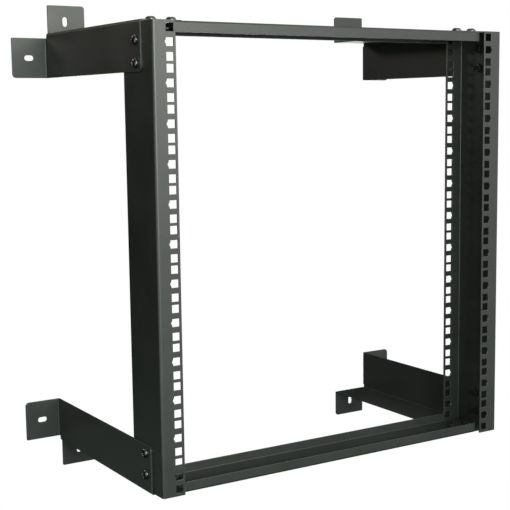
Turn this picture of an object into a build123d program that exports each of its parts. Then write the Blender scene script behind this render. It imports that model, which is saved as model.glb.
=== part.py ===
"""Wall mount open frame rack, 12 units high, of black painted folded sheet steel.

Frame of the part, in millimetres: the wall is the plane Y = 0 and the rack stands out from it towards -Y.
X runs from the left rail to the right rail, Z is up, and the origin is the middle of the wall slots.
"""

import os

from build123d import *

# Rack standard: heights in units and panel holes
rack_units = 12
unit_height = 44.45
first_hole_from_unit_edge = 6.35
hole_pitch_in_unit = 15.875
holes_per_unit = 3
hole_column_spacing = 465.1
hole_width = 9.5
notch_depth = 1.6
notch_half_height = 3.2

# The whole rack
wall_to_front = 304.8

# Rails: upright channels
rail_depth = 76.2
rail_flange_width = 28.575
hole_from_flange_edge = 7.125
rail_sheet = 2.0
rail_inner_bend = 1.2
rail_bevel_margin = 1.0

# Cross-members: channels between the rails, plates flush with the rail ends
cross_sheet = 1.5
cross_inner_bend = 1.0
cross_set_back = 6.35
cross_lip_height = 12.7
cross_lip_end_gap = 3.175
cross_end_clearance = 0.5

# Brackets: folded sheets from the rails back to the wall
bracket_sheet = 2.0
bracket_inner_bend = 1.0
bracket_front_set_back = 25.4
bracket_web_height = 57.15
bracket_flange_width = 54.4
bracket_corner_radius = 6.35
bracket_relief_depth = 1.0
web_tab_top_gap = 6.35
web_tab_reach = 46.0
web_tab_corner_radius = 5.0
flange_tab_side_gap = 3.6
flange_tab_height = 38.1
flange_tab_corner_radius = 4.0
small_corner_radius = 1.5

# Wall slots in the bracket tabs
slot_length = 12.7
slot_width = 7.0
outer_slot_from_web = 23.4
inner_slot_from_web = 27.4
inner_slot_above_flange = 17.5

# Screws and nuts, whose round parts have twelve sides because they repeat so often
fastener_sides = 12
screw_diameter = 6.0
screw_length = 12.0
head_diameter = 12.0
head_height = 4.2
head_rim_height = 1.1
head_slope = 40.0
screw_hole_clearance = 0.6
screw_spacing = 25.4
rail_screw_from_web_edge = 9.55
cross_screw_from_flange_edge = 9.4
nut_width = 10.0
nut_height = 5.0
nut_thread_clearance = 0.3

# Places that follow from the sizes above
bay_height = rack_units * unit_height
end_level = bay_height / 2 + cross_sheet
hole_column = hole_column_spacing / 2
rail_edge = hole_column - hole_from_flange_edge
rail_outside = rail_edge + rail_flange_width
front_face = -wall_to_front
rail_rear_face = front_face + rail_depth
rail_middle = front_face + rail_depth / 2
rail_bevel_front = front_face + bracket_front_set_back - rail_bevel_margin
cross_fold = cross_inner_bend + cross_sheet
cross_front = front_face + cross_set_back
cross_rear = rail_rear_face - cross_set_back
cross_lip_end = rail_edge - cross_lip_end_gap
cross_end = rail_outside - rail_sheet - cross_end_clearance
bracket_outside = rail_outside + bracket_sheet
bracket_top = end_level + bracket_sheet
bracket_low_edge = bracket_top - bracket_web_height
bracket_inner_edge = bracket_outside - bracket_flange_width
bracket_fold = bracket_inner_bend + bracket_sheet
bracket_relief = -bracket_fold - bracket_relief_depth
bracket_front = front_face + bracket_front_set_back
web_tab_edge = bracket_outside + web_tab_reach
web_tab_height = bracket_web_height - web_tab_top_gap
web_tab_middle = bracket_low_edge + web_tab_height / 2
flange_tab_width = bracket_flange_width - flange_tab_side_gap
flange_tab_edge = end_level + flange_tab_height
outer_slot_place = bracket_outside + outer_slot_from_web
inner_slot_place = bracket_outside - inner_slot_from_web
inner_slot_level = end_level + inner_slot_above_flange
screw_hole_diameter = screw_diameter + screw_hole_clearance
low_screw_level = bracket_low_edge + rail_screw_from_web_edge
high_screw_level = low_screw_level + screw_spacing
inner_screw_place = bracket_inner_edge + cross_screw_from_flange_edge
outer_screw_place = inner_screw_place + screw_spacing

os.makedirs("parts", exist_ok=True)


def hole_levels():
    """Levels of the panel holes, with True for the middle hole of each unit."""
    levels = []
    for unit in range(rack_units):
        unit_bottom = unit * unit_height - bay_height / 2
        for place in range(holes_per_unit):
            level = unit_bottom + first_hole_from_unit_edge + place * hole_pitch_in_unit
            levels.append((level, place == holes_per_unit // 2))
    return levels


def keep(piece, name):
    """Name a finished piece and write it to its own file."""
    piece.part.label = name
    export_step(piece.part, f"parts/{name}.step")


# Left rail: a channel open towards the bay, punched through both flanges, its web's ends bevelled
# where the brackets' bends sit
with BuildPart() as left_rail:
    with BuildSketch(Plane.XY.offset(-end_level)):
        with BuildLine():
            rail_line = FilletPolyline(
                (-rail_edge, front_face),
                (-rail_outside, front_face),
                (-rail_outside, rail_rear_face),
                (-rail_edge, rail_rear_face),
                radius=rail_inner_bend + rail_sheet,
            )
            offset(rail_line, amount=rail_sheet, side=Side.RIGHT)
        make_face()
    extrude(amount=2 * end_level)

    with BuildSketch(Plane.XZ.offset(-rail_rear_face)):
        for level, notched in hole_levels():
            with Locations((-hole_column, level)):
                Rectangle(hole_width, hole_width)
            if notched:
                with Locations((-hole_column - hole_width / 2, level)):
                    Polygon(
                        (0, -notch_half_height),
                        (0, notch_half_height),
                        (-notch_depth, 0),
                        align=None,
                    )
    extrude(amount=rail_depth, mode=Mode.SUBTRACT)

    with BuildSketch(Plane.YZ.offset(-rail_outside)):
        with Locations((rail_middle, low_screw_level), (rail_middle, high_screw_level),
                       (rail_middle, -low_screw_level), (rail_middle, -high_screw_level)):
            Circle(screw_hole_diameter / 2)
    extrude(amount=rail_sheet, mode=Mode.SUBTRACT)

    with BuildSketch(Plane.XZ.offset(-rail_rear_face)):
        for end in (1, -1):
            Polygon(
                (-rail_outside, end * end_level),
                (-rail_outside + bracket_inner_bend, end * end_level),
                (-rail_outside, end * (end_level - bracket_inner_bend)),
                align=None,
            )
    extrude(amount=rail_rear_face - rail_bevel_front, mode=Mode.SUBTRACT)
keep(left_rail, "left_rail")

# Right rail: the same channel, handed
with BuildPart() as right_rail:
    mirror(left_rail.part, about=Plane.YZ)
keep(right_rail, "right_rail")

# Top cross-member: a plate flush with the rail ends, with a lip folded down at the front and at the rear
with BuildPart() as top_crossmember:
    with BuildSketch(Plane.YZ.offset(-cross_lip_end)):
        with BuildLine():
            cross_line = FilletPolyline(
                (cross_front, end_level - cross_lip_height),
                (cross_front, end_level),
                (cross_rear, end_level),
                (cross_rear, end_level - cross_lip_height),
                radius=cross_fold,
            )
            offset(cross_line, amount=cross_sheet, side=Side.RIGHT)
        make_face()
    extrude(amount=2 * cross_lip_end)

    with BuildSketch(Plane.XY.offset(end_level - cross_sheet)):
        with Locations((0, rail_middle)):
            Rectangle(2 * cross_end, cross_rear - cross_front - 2 * cross_fold)
    extrude(amount=cross_sheet)

    with BuildSketch(Plane.XY.offset(end_level)):
        with Locations((-outer_screw_place, rail_middle), (-inner_screw_place, rail_middle),
                       (inner_screw_place, rail_middle), (outer_screw_place, rail_middle)):
            Circle(screw_hole_diameter / 2)
    extrude(amount=-cross_sheet, mode=Mode.SUBTRACT)
keep(top_crossmember, "top_crossmember")

# Bottom cross-member: the same bar turned over
with BuildPart() as bottom_crossmember:
    mirror(top_crossmember.part, about=Plane.XY)
keep(bottom_crossmember, "bottom_crossmember")

# Upper left bracket: web and flange in one folded strip, and a wall tab from each
with BuildPart() as upper_left_bracket:
    with BuildSketch(Plane.XZ.offset(-bracket_relief)):
        with BuildLine():
            strip_line = FilletPolyline(
                (-bracket_outside, bracket_low_edge),
                (-bracket_outside, bracket_top),
                (-bracket_inner_edge, bracket_top),
                radius=bracket_fold,
            )
            offset(strip_line, amount=bracket_sheet, side=Side.RIGHT)
        make_face()
    extrude(amount=bracket_relief - bracket_front)
    front_edges = upper_left_bracket.edges().group_by(Axis.Y)[0]
    web_corner = front_edges.filter_by(Axis.X).sort_by(Axis.Z)[0]
    flange_corner = front_edges.filter_by(Axis.Z).sort_by(Axis.X)[-1]
    fillet([web_corner, flange_corner], radius=bracket_corner_radius)

    with BuildSketch(Plane.XY.offset(bracket_low_edge)):
        with BuildLine():
            web_tab_line = FilletPolyline(
                (-rail_outside, bracket_relief),
                (-rail_outside, 0),
                (-web_tab_edge, 0),
                radius=bracket_fold,
            )
            offset(web_tab_line, amount=bracket_sheet, side=Side.LEFT)
        make_face()
    extrude(amount=web_tab_height)

    with BuildSketch(Plane.YZ.offset(-bracket_inner_edge)):
        with BuildLine():
            flange_tab_line = FilletPolyline(
                (bracket_relief, end_level),
                (0, end_level),
                (0, flange_tab_edge),
                radius=bracket_fold,
            )
            offset(flange_tab_line, amount=bracket_sheet, side=Side.LEFT)
        make_face()
    extrude(amount=-flange_tab_width)

    web_tab_corners = upper_left_bracket.edges().filter_by(Axis.Y).group_by(Axis.X)[0]
    fillet(web_tab_corners.sort_by(Axis.Z)[0], radius=web_tab_corner_radius)
    fillet(web_tab_corners.sort_by(Axis.Z)[-1], radius=small_corner_radius)
    flange_tab_corners = upper_left_bracket.edges().filter_by(Axis.Y).group_by(Axis.Z)[-1]
    fillet(flange_tab_corners.sort_by(Axis.X)[-1], radius=flange_tab_corner_radius)
    fillet(flange_tab_corners.sort_by(Axis.X)[0], radius=small_corner_radius)

    with BuildSketch(Plane.XZ):
        with Locations((-outer_slot_place, web_tab_middle)):
            SlotOverall(slot_length, slot_width)
        with Locations((-inner_slot_place, inner_slot_level)):
            SlotOverall(slot_length, slot_width, rotation=90)
    extrude(amount=bracket_sheet, mode=Mode.SUBTRACT)

    with BuildSketch(Plane.YZ.offset(-bracket_outside)):
        with Locations((rail_middle, low_screw_level), (rail_middle, high_screw_level)):
            Circle(screw_hole_diameter / 2)
    extrude(amount=bracket_sheet, mode=Mode.SUBTRACT)

    with BuildSketch(Plane.XY.offset(bracket_top)):
        with Locations((-outer_screw_place, rail_middle), (-inner_screw_place, rail_middle)):
            Circle(screw_hole_diameter / 2)
    extrude(amount=-bracket_sheet, mode=Mode.SUBTRACT)
keep(upper_left_bracket, "upper_left_bracket")

# Lower right bracket: the same part, turned half round about the rack's depth
with BuildPart() as lower_right_bracket:
    add(upper_left_bracket.part, rotation=(0, 180, 0))
keep(lower_right_bracket, "lower_right_bracket")

# Upper right and lower left brackets: the other hand
with BuildPart() as upper_right_bracket:
    mirror(upper_left_bracket.part, about=Plane.YZ)
keep(upper_right_bracket, "upper_right_bracket")

with BuildPart() as lower_left_bracket:
    mirror(upper_left_bracket.part, about=Plane.XY)
keep(lower_left_bracket, "lower_left_bracket")

# One pan head screw, standing head up on Z = 0
with BuildPart() as screw:
    with BuildSketch(Plane.XY.offset(-screw_length)):
        RegularPolygon(screw_diameter / 2, fastener_sides)
    extrude(amount=screw_length)
    with BuildSketch():
        RegularPolygon(head_diameter / 2, fastener_sides)
    extrude(amount=head_rim_height)
    with BuildSketch(Plane.XY.offset(head_rim_height)):
        RegularPolygon(head_diameter / 2, fastener_sides)
    extrude(amount=head_height - head_rim_height, taper=head_slope)

# One hexagon nut, its seat on Z = 0
with BuildPart() as nut:
    with BuildSketch():
        RegularPolygon(nut_width / 2, 6, major_radius=False)
        RegularPolygon((screw_diameter + nut_thread_clearance) / 2, fastener_sides, mode=Mode.SUBTRACT)
    extrude(amount=nut_height)


def fasten(name, piece, places):
    """Put a copy of a screw or nut at each place, and keep them as one node."""
    with BuildPart() as group:
        with Locations(*places):
            add(piece.part)
    keep(group, name)


# Rails to bracket webs: an outer and an inner screw and nut near each end of each rail
for side_name, side in (("left", -1), ("right", 1)):
    head_seat = side * bracket_outside
    nut_seat = side * (rail_outside - rail_sheet)
    for row_name, level in (("outer", high_screw_level), ("inner", low_screw_level)):
        fasten(
            f"{side_name}_rail_{row_name}_screws",
            screw,
            [Location((head_seat, rail_middle, z), (0, side * 90, 0)) for z in (level, -level)],
        )
        fasten(
            f"{side_name}_rail_{row_name}_nuts",
            nut,
            [Location((nut_seat, rail_middle, z), (0, -side * 90, 0)) for z in (level, -level)],
        )

# Cross-members to bracket flanges: an outer and an inner screw and nut near each end of each bar
for bar_name, end, turned_over in (("top", 1, 0), ("bottom", -1, 180)):
    head_seat = end * bracket_top
    nut_seat = end * (end_level - cross_sheet)
    for row_name, place in (("outer", outer_screw_place), ("inner", inner_screw_place)):
        fasten(
            f"{bar_name}_crossmember_{row_name}_screws",
            screw,
            [Location((x, rail_middle, head_seat), (turned_over, 0, 0)) for x in (-place, place)],
        )
        fasten(
            f"{bar_name}_crossmember_{row_name}_nuts",
            nut,
            [Location((x, rail_middle, nut_seat), (180 - turned_over, 0, 0)) for x in (-place, place)],
        )
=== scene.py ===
import bpy
import numpy as np
from mathutils import Matrix, Vector


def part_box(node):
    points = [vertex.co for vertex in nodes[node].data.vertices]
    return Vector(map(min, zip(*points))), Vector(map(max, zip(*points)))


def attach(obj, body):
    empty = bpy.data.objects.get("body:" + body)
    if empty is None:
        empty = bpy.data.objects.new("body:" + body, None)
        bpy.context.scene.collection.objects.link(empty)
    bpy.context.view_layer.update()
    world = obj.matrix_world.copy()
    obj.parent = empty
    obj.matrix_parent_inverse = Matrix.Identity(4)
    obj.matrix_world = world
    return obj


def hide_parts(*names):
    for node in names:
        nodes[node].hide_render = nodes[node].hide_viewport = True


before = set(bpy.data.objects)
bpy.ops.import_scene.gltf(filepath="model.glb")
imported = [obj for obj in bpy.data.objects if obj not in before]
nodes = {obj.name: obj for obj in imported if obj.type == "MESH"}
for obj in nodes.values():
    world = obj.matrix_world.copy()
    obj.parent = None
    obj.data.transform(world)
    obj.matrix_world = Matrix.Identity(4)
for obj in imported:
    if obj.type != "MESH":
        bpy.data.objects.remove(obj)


# The view layer brought up to date, before anything is added.
bpy.context.view_layer.update()


# RAILS. Two upright channels of 2 mm cold-rolled steel sheet, punched with square cage-nut holes
# and then folded. They are powder coated in semi-matte black after folding, so the coat runs
# over the holes' cut edges and pulls thin there.

MM = 0.001


def linear(hex_colour):
    """An sRGB hex colour as linear red, green, blue, 1: each channel over 255, then divided by
    12.92 where it is below 0.04045, and otherwise plus 0.055, over 1.055, to the power 2.4."""
    channels = np.array([int(hex_colour[i:i + 2], 16) for i in (1, 3, 5)]) / 255
    low = channels / 12.92
    high = ((channels + 0.055) / 1.055) ** 2.4
    return (*np.where(channels < 0.04045, low, high).tolist(), 1.0)


def add_node(tree, kind, sockets=None, **settings):
    """One shader node. The settings are its own properties. Each of its input sockets, by name
    or number, is given a value, or another node's output to be linked to."""
    node = tree.nodes.new(kind)
    for name, value in settings.items():
        setattr(node, name, value)
    for name, value in (sockets or {}).items():
        if isinstance(value, bpy.types.NodeSocket):
            tree.links.new(value, node.inputs[name])
        else:
            node.inputs[name].default_value = value
    return node


def blank_material(name):
    """A new material, and its node tree with nothing in it."""
    material = bpy.data.materials.new(name)
    material.use_nodes = True
    material.node_tree.nodes.clear()
    return material, material.node_tree


def powder_coat(name, blacks, thin_edge_and_highlight, roughness):
    """Semi-matte black polyester powder coat on steel: a dark grey colour with a low sheen. The
    baked powder leaves a fine orange peel, a faint clouding where it lies thicker, and a paler
    line along the edges, partly the coat drawn thin there and partly a painted highlight."""
    material, tree = blank_material(name)
    place = add_node(tree, "ShaderNodeTexCoord").outputs["Object"]

    # Orange peel has cells of 0.5 to 2 mm, drawn at 2.2 mm so that they can show. On it lies the
    # powder's finer grain, and the strokes of the spray gun leave clouds 70 mm wide.
    peel_cell, peel_height = 2.2 * MM, 0.12 * MM
    grain_cell, grain_height = 0.7 * MM, 0.06 * MM
    cloud_width = 70 * MM
    peel = add_node(tree, "ShaderNodeTexNoise",
                    {"Vector": place, "Scale": 1 / peel_cell, "Detail": 1.5, "Roughness": 0.5})
    grain = add_node(tree, "ShaderNodeTexNoise",
                     {"Vector": place, "Scale": 1 / grain_cell, "Detail": 1.0, "Roughness": 0.5})
    cloud = add_node(tree, "ShaderNodeTexNoise",
                     {"Vector": place, "Scale": 1 / cloud_width, "Detail": 3.0, "Roughness": 0.6})

    # How far the rounded normal leans from the flat one says how near an edge is.
    edge_radius = 0.8 * MM
    rounded = add_node(tree, "ShaderNodeBevel", {"Radius": edge_radius}, samples=6)
    flat = add_node(tree, "ShaderNodeNewGeometry").outputs["Normal"]
    lean = add_node(tree, "ShaderNodeVectorMath",
                    {0: rounded.outputs["Normal"], 1: flat}, operation="DOT_PRODUCT")
    edge = add_node(tree, "ShaderNodeMapRange",
                    {"Value": lean.outputs["Value"], "From Min": 0.98, "From Max": 0.75,
                     "To Min": 0.0, "To Max": 0.8})

    # Tone and gloss both follow the clouding.
    thin_cloud, thick_cloud = 0.3, 0.7
    smoother, rougher = 0.03, 0.04
    tone = add_node(tree, "ShaderNodeValToRGB", {"Fac": cloud.outputs["Fac"]})
    for stop, level, black in zip(tone.color_ramp.elements, (thin_cloud, thick_cloud), blacks):
        stop.position, stop.color = level, linear(black)
    # Along the edges the colour goes to a pale grey: partly the thin coat, partly a painted
    # highlight of the lit edges.
    colour = add_node(tree, "ShaderNodeMix",
                      {"Factor": edge.outputs["Result"], "A": tone.outputs["Color"],
                       "B": linear(thin_edge_and_highlight)}, data_type="RGBA")
    gloss = add_node(tree, "ShaderNodeMapRange",
                     {"Value": cloud.outputs["Fac"], "From Min": thin_cloud,
                      "From Max": thick_cloud, "To Min": roughness - smoother,
                      "To Max": roughness + rougher})

    grain_bump = add_node(tree, "ShaderNodeBump",
                          {"Height": grain.outputs["Fac"], "Normal": rounded.outputs["Normal"],
                           "Strength": 0.25, "Distance": grain_height})
    peel_bump = add_node(tree, "ShaderNodeBump",
                         {"Height": peel.outputs["Fac"], "Normal": grain_bump.outputs["Normal"],
                          "Strength": 0.5, "Distance": peel_height})
    shader = add_node(tree, "ShaderNodeBsdfPrincipled",
                      {"Base Color": colour.outputs[2], "Roughness": gloss.outputs["Result"],
                       "Normal": peel_bump.outputs["Normal"], "IOR": 1.5,
                       "Specular IOR Level": 0.5})
    add_node(tree, "ShaderNodeOutputMaterial", {"Surface": shader.outputs["BSDF"]})
    return material


def coat(names, material):
    """Put the material on the CAD nodes with these names."""
    for name in names:
        nodes[name].data.materials[0] = material


rail_coat = powder_coat("rail_powder_coat_semi_matte_black", ("#212523", "#262a28"),
                        "#5a5d59", 0.39)
coat(("left_rail", "right_rail"), rail_coat)


# CROSS-MEMBERS. Two bars of 1.5 mm steel sheet between the rails, one at the top and one at the
# bottom, each folded into a shallow channel with its lips towards the bay, in the same black
# powder coat.

bar_coat = powder_coat("crossmember_powder_coat_semi_matte_black", ("#212523", "#262a28"),
                       "#5a5d59", 0.39)
coat(("top_crossmember", "bottom_crossmember"), bar_coat)


# BRACKETS. Four folded brackets of 2 mm steel sheet, each one blank cut with two wall tabs and
# bent three times, in the same black powder coat. They hold the rails off the wall.

bracket_coat = powder_coat("bracket_powder_coat_semi_matte_black", ("#262a28", "#2b2f2d"),
                           "#5e615d", 0.41)
coat(("upper_left_bracket", "upper_right_bracket", "lower_left_bracket", "lower_right_bracket"),
     bracket_coat)


# SCREWS. Sixteen M6 pan head screws with a cross recess, cold headed and thread rolled from steel
# wire, then zinc plated and dyed black. Each goes through a bracket into a rail or a
# cross-member. All their sizes are in millimetres.

screw_radius = 2.95
screw_length = 12.0
tip_radius = 1.2
tip_cone_inset = 0.9
thread_pitch = 1.0
thread_depth = 0.55
crest_width = 0.12
flank_width = 0.7
head_radius = 6.0
head_height = 4.2
rim_height = 1.1
crown_power = 3.2
crown_roundness = 0.62
wing_reach = 3.45
wing_half_width = 0.95
well_radius = 1.6
recess_depth = 3.0
recess_floor_rise = 2
recess_floor_overrun = 0.15
recess_wall = 0.45
dull_and_shade_depth = 1.0
dull_and_shade_fade = 1.2
screw_points_around = 80

# The rim and the underside of the head, as rows of radius and height.
rim = np.array([[head_radius, 0.9], [head_radius, 0.35], [5.9, 0.1], [5.7, 0.0], [3.2, 0.0]])

# Rows of the crown, as shares of the head's radius: even over the recess, then closer together.
recess_rows = np.linspace(0, 0.62, 26)
shoulder_rows = 1 - np.geomspace(0.36, 0.004, 10)
shank_start = 0.02
shank_rows_per_mm = 6


def smooth_step(value):
    """Nought below 0, one above 1, and 3 v squared minus 2 v cubed between."""
    held = np.clip(value, 0, 1)
    return held * held * (3 - 2 * held)


def thread_radius(crest, height, angle):
    """A rolled thread's radius: the crest less the depth times a blunt triangle wave, whose phase
    is the height over the pitch less the angle over a full turn, so the ridge is a helix."""
    phase = np.mod(height / thread_pitch - angle / (2 * np.pi), 1)
    wave = np.abs(2 * phase - 1)
    return crest - thread_depth * smooth_step((wave - crest_width) / flank_width)


def cross_recess(x, y):
    """Depth of a cross recess below the crown: a floor that rises outwards at two in one from the
    middle, cut off by a smooth wall at the edge of two crossed wings and a round well."""
    radius = np.hypot(x, y)
    along_x = np.maximum(np.abs(y) - wing_half_width, np.abs(x) - wing_reach)
    along_y = np.maximum(np.abs(x) - wing_half_width, np.abs(y) - wing_reach)
    outside = np.minimum(np.minimum(along_x, along_y), radius - well_radius)
    floor_end = wing_reach + recess_floor_overrun
    floor = np.clip(recess_floor_rise * (floor_end - radius), 0, recess_depth)
    return floor * smooth_step(-outside / recess_wall)


def pan_head_screw(turn):
    """Points of one screw, standing on its seat at height 0, and how dull each is, which in the
    recess also sets its painted shade: rows along its outline, columns around its axis. The crown
    is the rim height plus the rest of the head times one less the radius share to the crown power,
    all to the crown roundness, less the recess. The shank is the thread radius, held under a cone
    of 45 degrees at its tip. The thread is fully dull, the recess grows dull and darker, as
    painted shade, below the dull and shade depth, and the rest of the head isn't dull."""
    angle = np.linspace(0, 2 * np.pi, screw_points_around, endpoint=False)[None, :]
    share = np.concatenate([recess_rows, shoulder_rows, [1]])
    crown_radius = share[:, None] * head_radius + 0 * angle
    dome = (1 - share ** crown_power) ** crown_roundness
    crown = rim_height + (head_height - rim_height) * dome
    recess = cross_recess(crown_radius * np.cos(angle - turn), crown_radius * np.sin(angle - turn))

    shank_rows = shank_rows_per_mm * int(screw_length)
    level = -np.linspace(shank_start, screw_length, shank_rows)[:, None] + 0 * angle
    cone = screw_radius - tip_cone_inset + (screw_length + level)
    shank = np.minimum(thread_radius(screw_radius, level, angle), cone)
    tip = np.array([[tip_radius], [0.0]]) + 0 * angle

    radius = np.concatenate([crown_radius, rim[:, :1] + 0 * angle, shank, tip])
    height = np.concatenate([crown[:, None] - recess, rim[:, 1:] + 0 * angle, level,
                             np.full_like(tip, -screw_length)])
    hollow = np.ones_like(radius)
    # Below this depth in the recess the head grows dull, and its colour darker as painted shade.
    hollow[:len(recess)] = smooth_step((recess - dull_and_shade_depth) / dull_and_shade_fade)
    hollow[len(recess):len(recess) + len(rim)] = 0
    return np.stack([radius * np.cos(angle), radius * np.sin(angle), height], axis=-1), hollow


def capped_faces(rows, columns):
    """Triangles of a grid of rows around an axis whose first and last rows are single points:
    two for each cell, less those that have no width at the two points. It gives the numbers of
    the grid's points that are used, and the triangles in the order of those."""
    row, column = np.meshgrid(np.arange(rows - 1), np.arange(columns), indexing="ij")
    after = (column + 1) % columns
    corners = [row * columns + column, (row + 1) * columns + column,
               (row + 1) * columns + after, row * columns + after]
    lower = np.stack([corners[0], corners[1], corners[2]], axis=-1)[:-1].reshape(-1, 3)
    upper = np.stack([corners[0], corners[2], corners[3]], axis=-1)[1:].reshape(-1, 3)
    faces = np.concatenate([lower, upper])
    last = (rows - 1) * columns
    faces[faces < columns] = 0
    faces[faces >= last] = last
    used, faces = np.unique(faces, return_inverse=True)
    return used, faces.reshape(-1, 3)


def stand(points, seat, outward, along):
    """Points turned and moved: local Z goes to outward, local X to along, and 0 to the seat."""
    basis = np.stack([along, np.cross(outward, along), outward])
    return (points @ basis + seat) * MM


def make_piece(name, points, faces, hollow, material):
    """A mesh object from arrays of points in metres, triangles, and how dull each point is, which
    its hollow attribute keeps; in a screw's recess it also sets how deep the painted shade is. Its
    faces are smooth, and the edges that turn by more than the crease angle are sharp."""
    crease = np.radians(32)
    mesh = bpy.data.meshes.new(name)
    mesh.vertices.add(len(points))
    mesh.vertices.foreach_set("co", points.astype(np.float32).ravel())
    mesh.loops.add(faces.size)
    mesh.loops.foreach_set("vertex_index", faces.astype(np.int32).ravel())
    mesh.polygons.add(len(faces))
    mesh.polygons.foreach_set("loop_start", np.arange(0, faces.size, 3, dtype=np.int32))
    mesh.update(calc_edges=True)
    mesh.polygons.foreach_set("use_smooth", np.ones(len(faces), bool))
    mesh.set_sharp_from_angle(angle=crease)
    depth = mesh.attributes.new("hollow", "FLOAT", "POINT")
    depth.data.foreach_set("value", hollow.astype(np.float32))
    mesh.materials.append(material)
    piece = bpy.data.objects.new(name, mesh)
    bpy.context.scene.collection.objects.link(piece)
    return piece


def black_zinc(name, blacks, roughness, lacquer_share):
    """Black dyed zinc plating on steel, sealed with lacquer: a dark metal under a clear gloss. The
    dye takes unevenly, so its tone and gloss wander over a few millimetres. Where the piece's
    hollow attribute goes to 1 it is blacker and dull: on the thread the dye lies thick and the
    lacquer is missing, and deep in the recess the lacquer is missing and the blacker colour is
    painted shade."""
    material, tree = blank_material(name)
    place = add_node(tree, "ShaderNodeTexCoord").outputs["Object"]
    hollow = add_node(tree, "ShaderNodeAttribute", attribute_name="hollow").outputs["Fac"]

    # The dye's stains are some 3 mm wide, and the plating's pits are as fine as the render shows.
    stain_width = 3 * MM
    pit_width, pit_depth = 0.35 * MM, 0.02 * MM
    stain = add_node(tree, "ShaderNodeTexNoise",
                     {"Vector": place, "Scale": 1 / stain_width, "Detail": 3.0})
    pit = add_node(tree, "ShaderNodeTexNoise",
                   {"Vector": place, "Scale": 1 / pit_width, "Detail": 2.0})

    tone = add_node(tree, "ShaderNodeValToRGB", {"Fac": stain.outputs["Fac"]})
    faint_stain, full_stain = 0.35, 0.7
    for stop, level, black in zip(tone.color_ramp.elements, (faint_stain, full_stain), blacks):
        stop.position, stop.color = level, linear(black)
    # Blacker colour where hollow is 1: on the thread the thick dye, in the recess painted shade.
    thick_dye_and_recess_shade = linear("#0b0b0b")
    colour = add_node(tree, "ShaderNodeMix",
                      {"Factor": hollow, "A": tone.outputs["Color"], "B": thick_dye_and_recess_shade},
                      data_type="RGBA")

    smoother, rougher, dull = 0.05, 0.08, 0.8
    gloss = add_node(tree, "ShaderNodeMapRange",
                     {"Value": stain.outputs["Fac"], "From Min": 0.3, "From Max": 0.7,
                      "To Min": roughness - smoother, "To Max": roughness + rougher})
    sheen = add_node(tree, "ShaderNodeMix", {0: hollow, 2: gloss.outputs["Result"], 3: dull},
                     data_type="FLOAT")
    lacquer = add_node(tree, "ShaderNodeMapRange",
                       {"Value": hollow, "To Min": lacquer_share, "To Max": 0.0})
    bump = add_node(tree, "ShaderNodeBump",
                    {"Height": pit.outputs["Fac"], "Strength": 0.3, "Distance": pit_depth})
    shader = add_node(tree, "ShaderNodeBsdfPrincipled",
                      {"Base Color": colour.outputs[2], "Metallic": 0.5,
                       "Roughness": sheen.outputs[0], "Normal": bump.outputs["Normal"],
                       "Coat Weight": lacquer.outputs["Result"], "Coat Roughness": 0.06,
                       "Coat IOR": 1.6})
    add_node(tree, "ShaderNodeOutputMaterial", {"Surface": shader.outputs["BSDF"]})
    return material


screw_zinc = black_zinc("screw_black_zinc_plating", ("#161617", "#222223"), 0.32, 1.0)

x_axis = np.array([1.0, 0.0, 0.0])
z_axis = np.array([0.0, 0.0, 1.0])
rail_middle = -266.7
bracket_outside = 256.0
bracket_top = 270.2


def joint_places(node):
    """Where a node's two fasteners are: for each, the point on the bracket's outer face that its
    axis passes through, the way that its head faces, and a line across its axis. The two stand as
    far apart as the node's box allows, less a head's radius, or half a nut's corner width, which
    is its width over the root of 3, at each end."""
    low, high = (np.array(corner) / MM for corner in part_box(node))
    inset = head_radius if "screws" in node else (high[1] - low[1]) / np.sqrt(3)
    if "rail" in node:
        side = -1.0 if node.startswith("left") else 1.0
        level = (high[2] - low[2]) / 2 - inset
        return [(np.array([side * bracket_outside, rail_middle, end * level]),
                 side * x_axis, z_axis) for end in (1, -1)]
    end = -1.0 if node.startswith("bottom") else 1.0
    place = (high[0] - low[0]) / 2 - inset
    return [(np.array([side * place, rail_middle, end * bracket_top]),
             end * z_axis, x_axis) for side in (1, -1)]


# How far each recess stands turned where its screw came tight, in degrees.
screw_turns = iter(np.radians([12, 38, 71, 5, 84, 27, 50, 3, 86, 77, 33, 9, 58, 44, 22, 69]))
for node in sorted(n for n in nodes if n.endswith("_screws")):
    points, faces, depths, count = [], [], [], 0
    for seat, outward, along in joint_places(node):
        grid, hollow = pan_head_screw(next(screw_turns))
        used, triangles = capped_faces(*grid.shape[:2])
        points.append(stand(grid.reshape(-1, 3)[used], seat, outward, along))
        depths.append(hollow.ravel()[used])
        faces.append(triangles + count)
        count += len(used)
    piece = make_piece(f"pan_head_{node}", np.concatenate(points), np.concatenate(faces),
                       np.concatenate(depths), screw_zinc)
    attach(piece, "root")
    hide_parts(node)


# NUTS. Sixteen M6 hexagon nuts, cold formed and tapped from steel, with both faces chamfered,
# zinc plated and dyed black. Each is turned up against the inside of a rail or a cross-member.
# All their sizes are in millimetres.

nut_width = 10.0
nut_height = 5.0
nut_points_around = 60
chamfer_slope = 0.577
chamfer_start = 0.96
thread_clearance = 0.08
mouth_widening = 0.25
bore_inset = 0.3
bore_rows = 27


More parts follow.
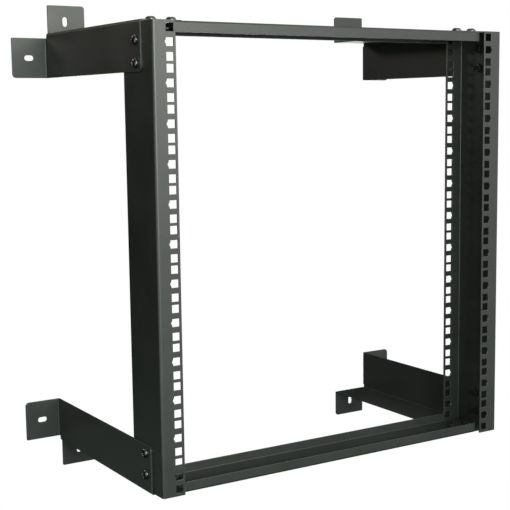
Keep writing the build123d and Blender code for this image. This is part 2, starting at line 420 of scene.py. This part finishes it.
def hexagon_nut(grip, turn):
    """Points of one nut in its screw's frame, under a grip of sheet: rows along a closed outline,
    columns around. Its side is the hexagon's radius, half the width over the cosine of the angle
    from the middle of a flat. Outside a circle just inside the flats, each face falls away by the
    chamfer's slope, and the bore is the screw's own thread with a little clearance."""
    own = np.linspace(0, 2 * np.pi, nut_points_around, endpoint=False)[None, :]
    angle = own + turn
    flat_middle = np.mod(own, np.pi / 3) - np.pi / 6
    side = nut_width / 2 / np.cos(flat_middle)
    circle = nut_width / 2 * chamfer_start + 0 * angle
    half_way = (circle + side) / 2
    drop = (side - circle) * chamfer_slope
    top, bottom = -grip + 0 * angle, -grip - nut_height + 0 * angle
    mouth = screw_radius + thread_clearance + mouth_widening + 0 * angle
    bore_ends = -grip - bore_inset, -grip - nut_height + bore_inset
    bore_level = np.linspace(*bore_ends, bore_rows)[:, None] + 0 * angle
    bore = thread_radius(screw_radius + thread_clearance, bore_level, angle)
    radius = np.concatenate([mouth, circle, half_way, side, side, half_way, circle, mouth,
                             bore[::-1]])
    height = np.concatenate([top, top, top - drop / 2, top - drop, bottom + drop,
                             bottom + drop / 2, bottom, bottom, bore_level[::-1]])
    return np.stack([radius * np.cos(angle), radius * np.sin(angle), height], axis=-1)


def ring_faces(rows, columns):
    """Triangles of a grid that closes on itself both ways: two for each cell."""
    row, column = np.meshgrid(np.arange(rows), np.arange(columns), indexing="ij")
    below, after = (row + 1) % rows, (column + 1) % columns
    corners = [row * columns + column, below * columns + column,
               below * columns + after, row * columns + after]
    return np.concatenate([np.stack([corners[0], corners[1], corners[2]], axis=-1),
                           np.stack([corners[0], corners[2], corners[3]], axis=-1)]).reshape(-1, 3)


nut_zinc = black_zinc("nut_black_zinc_plating", ("#232524", "#2b2d2c"), 0.45, 0.2)

# The sheet between a nut and its screw's head, and how far each nut stands turned, in degrees.
rail_grip = 4.0
bar_grip = 3.5
nut_turns = iter(np.radians([0, 20, 8, 47, 33, 12, 55, 26, 5, 41, 17, 50, 29, 31, 38, 11]))
for node in sorted(n for n in nodes if n.endswith("_nuts")):
    points, faces, count = [], [], 0
    for seat, outward, along in joint_places(node):
        grid = hexagon_nut(rail_grip if "rail" in node else bar_grip, next(nut_turns))
        points.append(stand(grid.reshape(-1, 3), seat, outward, along))
        faces.append(ring_faces(*grid.shape[:2]) + count)
        count += grid.shape[0] * grid.shape[1]
    piece = make_piece(f"hexagon_{node}", np.concatenate(points), np.concatenate(faces),
                       np.zeros(count), nut_zinc)
    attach(piece, "root")
    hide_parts(node)


# STUDIO. A plain pale floor, a little over a metre under the rack, as under a wall cabinet, and a
# white surround. The rack hangs free, as it does in the photograph, among soft lamps, two black
# cards and a black mat that the camera looks through.

floor_level = -1.25
floor_half = 12.0
fade_start, fade_end = 1.3, 2.6
near_share = 0.8
ambient_strength = 0.02


def rectangle(name, corners, material):
    """A flat mesh object with one face, from its four corners."""
    mesh = bpy.data.meshes.new(name)
    mesh.from_pydata(corners, [], [(0, 1, 2, 3)])
    mesh.materials.append(material)
    sheet = bpy.data.objects.new(name, mesh)
    bpy.context.scene.collection.objects.link(sheet)
    return sheet


def seen_rays(tree):
    """One for camera, glossy and transmission rays, and 0 for the rays that light a surface."""
    rays = add_node(tree, "ShaderNodeLightPath").outputs
    seen = add_node(tree, "ShaderNodeMath", {0: rays["Is Camera Ray"], 1: rays["Is Glossy Ray"]},
                    operation="MAXIMUM")
    seen = add_node(tree, "ShaderNodeMath", {0: seen.outputs[0], 1: rays["Is Transmission Ray"]},
                    operation="MAXIMUM")
    return seen.outputs[0]


# White painted board: pale and flat, and it fades to the surround's white away from the rack.
floor_paint, tree = blank_material("floor_white_painted_board")
place = add_node(tree, "ShaderNodeTexCoord").outputs["Object"]
reach = add_node(tree, "ShaderNodeVectorMath", {0: place}, operation="LENGTH")
fade = add_node(tree, "ShaderNodeMapRange",
                {"Value": reach.outputs["Value"], "From Min": fade_start, "From Max": fade_end,
                 "To Min": near_share, "To Max": 1.0})
share = add_node(tree, "ShaderNodeMath", {0: seen_rays(tree), 1: fade.outputs["Result"]},
                 operation="MULTIPLY")
paint = add_node(tree, "ShaderNodeBsdfDiffuse", {"Color": linear("#f4f4f4")})
white = add_node(tree, "ShaderNodeEmission", {"Color": linear("#ffffff"), "Strength": 1.0})
both = add_node(tree, "ShaderNodeMixShader",
                {0: share.outputs[0], 1: paint.outputs[0], 2: white.outputs[0]})
add_node(tree, "ShaderNodeOutputMaterial", {"Surface": both.outputs[0]})

floor = rectangle("floor", [(-floor_half, -floor_half, floor_level),
                            (floor_half, -floor_half, floor_level),
                            (floor_half, floor_half, floor_level),
                            (-floor_half, floor_half, floor_level)], floor_paint)

world = bpy.data.worlds.new("white_surround")
bpy.context.scene.world = world
world.use_nodes = True
tree = world.node_tree
tree.nodes.clear()
ambient = add_node(tree, "ShaderNodeBackground",
                   {"Color": linear("#ffffff"), "Strength": ambient_strength})
white = add_node(tree, "ShaderNodeBackground", {"Color": linear("#ffffff"), "Strength": 1.0})
both = add_node(tree, "ShaderNodeMixShader",
                {0: seen_rays(tree), 1: ambient.outputs[0], 2: white.outputs[0]})
add_node(tree, "ShaderNodeOutputWorld", {"Surface": both.outputs[0]})


def softbox(name, place, target, width, height, power, colour="#ffffff"):
    """A soft area lamp at a place, aimed at a target, that the camera looks through."""
    lamp = bpy.data.lights.new(name, "AREA")
    lamp.shape = "RECTANGLE"
    lamp.size, lamp.size_y, lamp.energy = width, height, power
    lamp.color = linear(colour)[:3]
    holder = bpy.data.objects.new(name, lamp)
    bpy.context.scene.collection.objects.link(holder)
    holder.location = place
    holder.visible_camera = False
    holder.rotation_euler = (Vector(target) - Vector(place)).to_track_quat("-Z", "Y").to_euler()


# In front and high: the grey sheen of every face that looks forward.
softbox("key_softbox", (0.0, -2.4, 0.66), (0.0, -0.3, 0.05), 2.05, 1.1, 58, "#fffff6")
# In front on the left: the outer wall tabs, where the bracket webs hide the key.
softbox("fill_softbox", (-0.46, -1.9, 0.22), (-0.27, 0.0, 0.0), 0.3, 0.7, 14, "#f4fffa")
# Close on the left: the webs of the left rail and the left brackets.
softbox("left_softbox", (-1.0, -0.6, -0.12), (-0.25, -0.27, -0.1), 0.5, 0.9, 2.9, "#fafff2")
# Behind on the left, one high and one low: the sheen that the same webs have in the photograph.
softbox("back_left_softbox", (-1.5, 1.4, 1.0), (0.1, -0.2, 0.2), 0.7, 0.4, 8.0, "#fff5ea")
softbox("low_left_softbox", (-0.8, 1.2, -1.0), (0.0, -0.1, 0.0), 0.8, 0.8, 0.45, "#ecfff4")
# In front on the far right: the right rail's flange and the right ends of the bars.
softbox("right_softbox", (2.3, -2.3, 0.65), (0.25, -0.3, 0.2), 0.6, 0.6, 3.5)
# Behind on the right and low: the lower edges of the top bar, and the back of the rack.
softbox("rear_softbox", (1.0, 2.0, -0.7), (0.0, -0.1, 0.0), 1.4, 0.8, 26)

# Black felt: matt and nearly without light, so that the faces that mirror it stay black.
card_felt, tree = blank_material("card_black_felt")
felt = add_node(tree, "ShaderNodeBsdfDiffuse", {"Color": linear("#141514")})
add_node(tree, "ShaderNodeOutputMaterial", {"Surface": felt.outputs[0]})


def dark_card(name, middle, half_width, half_height, turn):
    """An upright black card beside the set, turned about Z, that the camera looks through."""
    across = np.array([np.cos(turn), np.sin(turn), 0.0])
    corners = [np.array(middle) + i * half_width * across + j * half_height * z_axis
               for i, j in ((-1, -1), (1, -1), (1, 1), (-1, 1))]
    card = rectangle(name, [tuple(corner) for corner in corners], card_felt)
    card.visible_camera = False


dark_card("left_card", (-1.7, 0.9, 0.7), 2.2, 1.94, np.radians(90))
dark_card("back_card", (1.3, 3.0, 2.2), 3.0, 3.44, 0.0)

mat_level = floor_level + 0.02
mat_left, mat_right, mat_front, mat_back = -1.7, 4.3, -3.4, 3.0
floor_mat = rectangle("floor_mat", [(mat_left, mat_front, mat_level),
                                    (mat_right, mat_front, mat_level),
                                    (mat_right, mat_back, mat_level),
                                    (mat_left, mat_back, mat_level)], card_felt)
floor_mat.visible_camera = False
floor_mat.visible_shadow = False


# CAMERA. A short telephoto view from the left front, a little above the middle of the rack, as
# fitted to the photograph. Angles are in radians.

frame_pixels = 510
focal_pixels = 1161.4
centre_pixels = (287.4, 260.95)
camera_place = (-0.8252, -1.4520, 0.1706)
pitch, roll, yaw = -0.1302, -0.0096, 0.5743

level_ahead = Vector((np.sin(yaw), np.cos(yaw), 0))
level_right = Vector((np.cos(yaw), -np.sin(yaw), 0))
upright = Vector((0, 0, 1))
ahead = level_ahead * np.cos(pitch) + upright * np.sin(pitch)
over = upright * np.cos(pitch) - level_ahead * np.sin(pitch)
right = level_right * np.cos(roll) + over * np.sin(roll)
over = over * np.cos(roll) - level_right * np.sin(roll)

lens = bpy.data.cameras.new("camera")
lens.sensor_width = 36
lens.lens = focal_pixels * lens.sensor_width / frame_pixels
lens.shift_x = (frame_pixels / 2 - centre_pixels[0]) / frame_pixels
lens.shift_y = (centre_pixels[1] - frame_pixels / 2) / frame_pixels
camera = bpy.data.objects.new("camera", lens)
bpy.context.scene.collection.objects.link(camera)
turned = Matrix((right, over, -ahead)).transposed().to_4x4()
camera.matrix_world = Matrix.Translation(camera_place) @ turned
bpy.context.scene.camera = camera
bpy.context.scene.view_settings.view_transform = "Standard"
